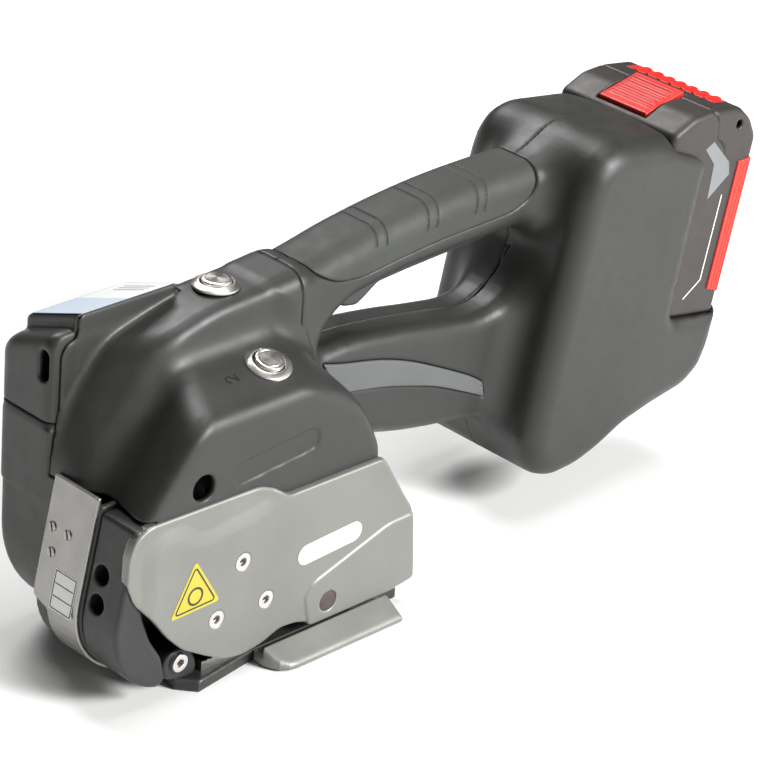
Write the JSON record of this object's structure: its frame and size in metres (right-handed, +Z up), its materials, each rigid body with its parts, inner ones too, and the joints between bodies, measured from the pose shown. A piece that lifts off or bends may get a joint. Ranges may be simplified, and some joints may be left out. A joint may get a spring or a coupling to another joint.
{
  "type": "battery strapping tool",
  "caption": "Hand-held battery tool that tensions and friction-welds plastic strap, with a loop handle, push buttons, rocker head and slide-in battery.",
  "frame": {"origin": "on the surface the tool stands on, under the middle of its base plate", "axes": "+X from the nose to the battery, +Z up, -Y towards the side where the strap goes in"},
  "size_m": [0.4211, 0.112, 0.1941],
  "materials": {
    "cover_plastic": "fine spark texture, satin",
    "housing_plastic": "fine spark texture, satin",
    "grip_rubber": "soft-touch, grooved",
    "lever_plastic": "satin",
    "trim_plastic": "satin",
    "black_moulding": "satin",
    "battery_plastic": "fine texture",
    "battery_red": "satin",
    "cell_wrap": null,
    "board": "solder mask",
    "rocker_paint": "satin paint on a fine casting",
    "foot_casting": "bead-blasted",
    "frame_casting": "as cast",
    "dark_steel": "black phosphate",
    "hardened_steel": "ground",
    "gear_steel": "ground",
    "motor_steel": "drawn can",
    "stainless": "turned, fine concentric brush",
    "bright_strip": "polished strip",
    "white_zinc": "white zinc plate",
    "dark_screw": "black oxide",
    "belt_rubber": "moulded"
  },
  "bodies": {
    "frame": {"base_plate": "dark_steel", "base_screws": "white_zinc", "carrier_guide_pins": "gear_steel", "control_board": "board", "drive_belt": "belt_rubber", "far_cover": "cover_plastic", "far_cover_screws": "dark_screw", "front_plate": "dark_steel", "front_strip": "bright_strip", "front_strip_screws": "bright_strip", "grip_insert": "grip_rubber", "handle_far_half": "cover_plastic", "handle_near_half": "cover_plastic", "housing_far_half": "housing_plastic", "housing_near_half": "housing_plastic", "lever_pin": "gear_steel", "lever_spring": "gear_steel", "lower_gripper": "hardened_steel", "main_cover": "cover_plastic", "main_frame": "frame_casting", "nose_cap": "cover_plastic", "nose_shell": "cover_plastic", "pivot_pin": "dark_screw", "rear_cover": "cover_plastic", "shell_screws": "dark_screw", "side_foot": "foot_casting", "strap_guide": "black_moulding", "strap_guide_screw": "white_zinc", "strut_far_half": "cover_plastic", "strut_near_half": "cover_plastic", "strut_trim": "trim_plastic", "tension_button_bezel": "stainless", "tension_switch": "black_moulding", "terminal_block": "black_moulding", "weld_anvil": "hardened_steel", "weld_button_bezel": "stainless", "weld_motor": "motor_steel", "weld_switch": "black_moulding"},
    "rocker": {"rocker_casting": "rocker_paint", "gearbox_plate": "frame_casting", "planet_pins": "hardened_steel", "gear_cover_screws": "dark_screw", "tension_motor": "motor_steel"},
    "wheel": {"tension_wheel": "hardened_steel"},
    "sun": {"sun_gear": "gear_steel"},
    "planet_1": {"planet_gear_1": "gear_steel"},
    "planet_2": {"planet_gear_2": "gear_steel"},
    "planet_3": {"planet_gear_3": "gear_steel"},
    "lever": {"squeeze_lever": "lever_plastic"},
    "carrier": {"weld_carrier": "frame_casting"},
    "jaw": {"weld_jaw": "hardened_steel"},
    "eccentric": {"eccentric_shaft": "gear_steel"},
    "motor_pulley": {"weld_motor_pulley": "gear_steel"},
    "tension_push": {"tension_button": "stainless"},
    "weld_push": {"weld_button": "stainless"},
    "battery": {"battery_case": "battery_plastic", "battery_cells": "cell_wrap", "battery_side_strips": "battery_red"},
    "release": {"battery_release": "battery_red"}
  },
  "joints": [
    {"name": "lever_squeeze", "type": "hinge", "parent": "frame", "child": "lever", "pos_m": [0.044, -0.005, 0.152], "axis": [0, -1, 0], "range_deg": [0, 6], "stiffness_Nm_per_rad": 1.2, "springref_deg": -8.59, "deforming": ["lever_spring"]},
    {"name": "rocker_lift", "type": "hinge", "parent": "frame", "child": "rocker", "pos_m": [0.0148, -0.05, 0.0202], "axis": [0, 1, 0], "range_deg": [0, 3]},
    {"name": "wheel_spin", "type": "hinge", "parent": "rocker", "child": "wheel", "pos_m": [-0.0388, -0.0465, 0.043], "axis": [0, 1, 0], "continuous": true},
    {"name": "sun_spin", "type": "hinge", "parent": "rocker", "child": "sun", "pos_m": [-0.0388, -0.04, 0.043], "axis": [0, 1, 0], "continuous": true},
    {"name": "planet_1_spin", "type": "hinge", "parent": "rocker", "child": "planet_1", "pos_m": [-0.03938, -0.0485, 0.05969], "axis": [0, 1, 0], "continuous": true},
    {"name": "planet_2_spin", "type": "hinge", "parent": "rocker", "child": "planet_2", "pos_m": [-0.05296, -0.0485, 0.03415], "axis": [0, 1, 0], "continuous": true},
    {"name": "planet_3_spin", "type": "hinge", "parent": "rocker", "child": "planet_3", "pos_m": [-0.02405, -0.0485, 0.03516], "axis": [0, 1, 0], "continuous": true},
    {"name": "carrier_lift", "type": "slide", "parent": "frame", "child": "carrier", "axis": [0, 0, 1], "range_m": [0, 0.002], "stiffness_N_per_m": 40, "springref_m": 0.00873},
    {"name": "jaw_shuttle", "type": "slide", "parent": "carrier", "child": "jaw", "axis": [0, 1, 0], "range_m": [-0.0012, 0.0012]},
    {"name": "eccentric_spin", "type": "hinge", "parent": "frame", "child": "eccentric", "pos_m": [0.048, -0.0455, 0.045], "axis": [0, 0, 1], "continuous": true},
    {"name": "motor_spin", "type": "hinge", "parent": "frame", "child": "motor_pulley", "pos_m": [0.01, 0.004, 0.052], "axis": [0, 0, 1], "continuous": true},
    {"name": "tension_press", "type": "slide", "parent": "frame", "child": "tension_push", "axis": [0, 0, -1], "range_m": [0, 0.0015], "stiffness_N_per_m": 400, "springref_m": -0.003},
    {"name": "weld_press", "type": "slide", "parent": "frame", "child": "weld_push", "axis": [0, 0.309, -0.9511], "range_m": [0, 0.0015], "stiffness_N_per_m": 400, "springref_m": -0.003},
    {"name": "battery_slide", "type": "slide", "parent": "frame", "child": "battery", "axis": [0.1822, 0, 0.9833], "range_m": [0, 0.12]},
    {"name": "release_press", "type": "slide", "parent": "battery", "child": "release", "axis": [0.2, 0, -0.9798], "range_m": [0, 0.002], "stiffness_N_per_m": 500, "springref_m": -0.003}
  ],
  "couplings": [
    {"joint": "rocker_lift", "follows": "lever_squeeze", "ratio": 0.5},
    {"joint": "carrier_lift", "follows": "lever_squeeze", "m_per_rad": 0.019},
    {"joint": "sun_spin", "follows": "wheel_spin", "ratio": -3.2},
    {"joint": "eccentric_spin", "follows": "motor_spin", "ratio": 1},
    {"joint": "planet_1_spin", "follows": "wheel_spin", "ratio": 2.9091},
    {"joint": "planet_2_spin", "follows": "wheel_spin", "ratio": 2.9091},
    {"joint": "planet_3_spin", "follows": "wheel_spin", "ratio": 2.9091}
  ]
}
